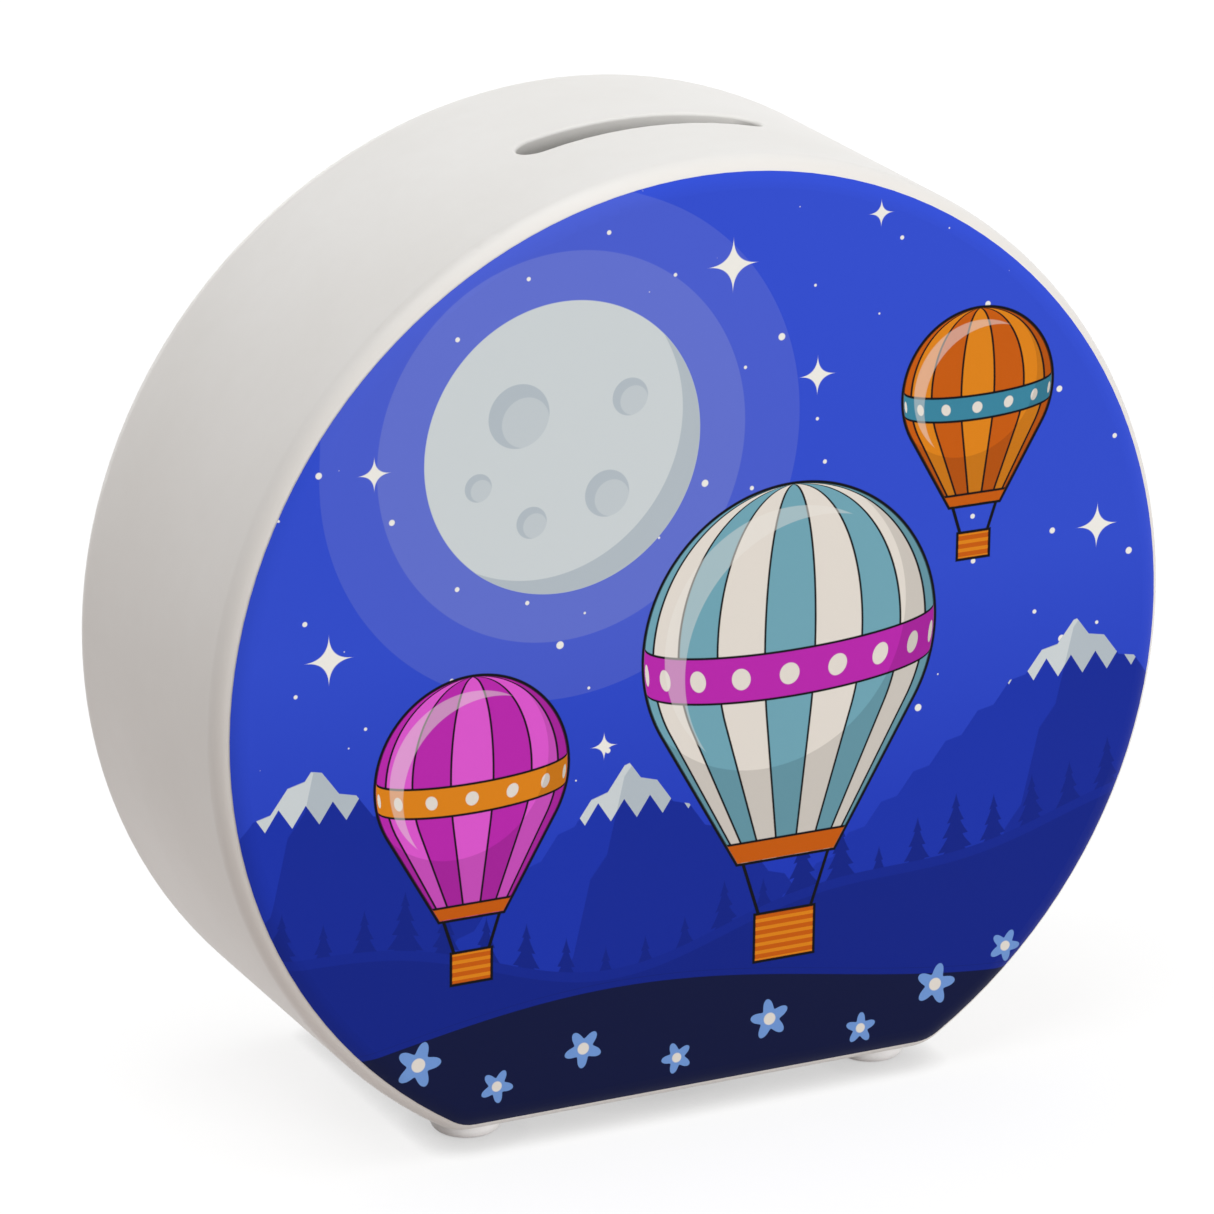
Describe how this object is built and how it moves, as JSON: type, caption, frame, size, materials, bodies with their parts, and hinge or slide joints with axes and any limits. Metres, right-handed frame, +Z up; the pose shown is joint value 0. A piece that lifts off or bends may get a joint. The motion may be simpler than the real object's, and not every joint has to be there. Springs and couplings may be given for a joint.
{
  "type": "money box",
  "caption": "Round drum-shaped money box in white glazed ceramic with a flat base, a coin slot in its crown, a printed front, a pull-out base stopper and small bumper feet.",
  "frame": {"origin": "on the table under the middle of the box, level with the undersides of the feet", "axes": "+X to the right seen from the front, +Y to the back (the print faces -Y), +Z up"},
  "size_m": [0.11, 0.0391, 0.1044],
  "materials": {
    "glazed_ceramic": "white clear-glazed earthenware, satin gloss",
    "print_coat": "glossy colour print, mostly royal blue",
    "stopper_rubber": "soft pale moulded rubber, matt",
    "foot_rubber": "white moulded bumper, slightly glossy",
    "adhesive": "clear white double-sided adhesive"
  },
  "bodies": {
    "box": {"body": "glazed_ceramic", "front_print": "print_coat", "foot_front_left": "foot_rubber", "foot_front_right": "foot_rubber", "foot_back_left": "foot_rubber", "foot_back_right": "foot_rubber", "foot_adhesive_front_left": "adhesive", "foot_adhesive_front_right": "adhesive", "foot_adhesive_back_left": "adhesive", "foot_adhesive_back_right": "adhesive"},
    "stopper": {"stopper": "stopper_rubber"}
  },
  "joints": [
    {"name": "stopper_pull", "type": "slide", "parent": "box", "child": "stopper", "axis": [0, 0, -1], "range_m": [0, 0.045]}
  ]
}
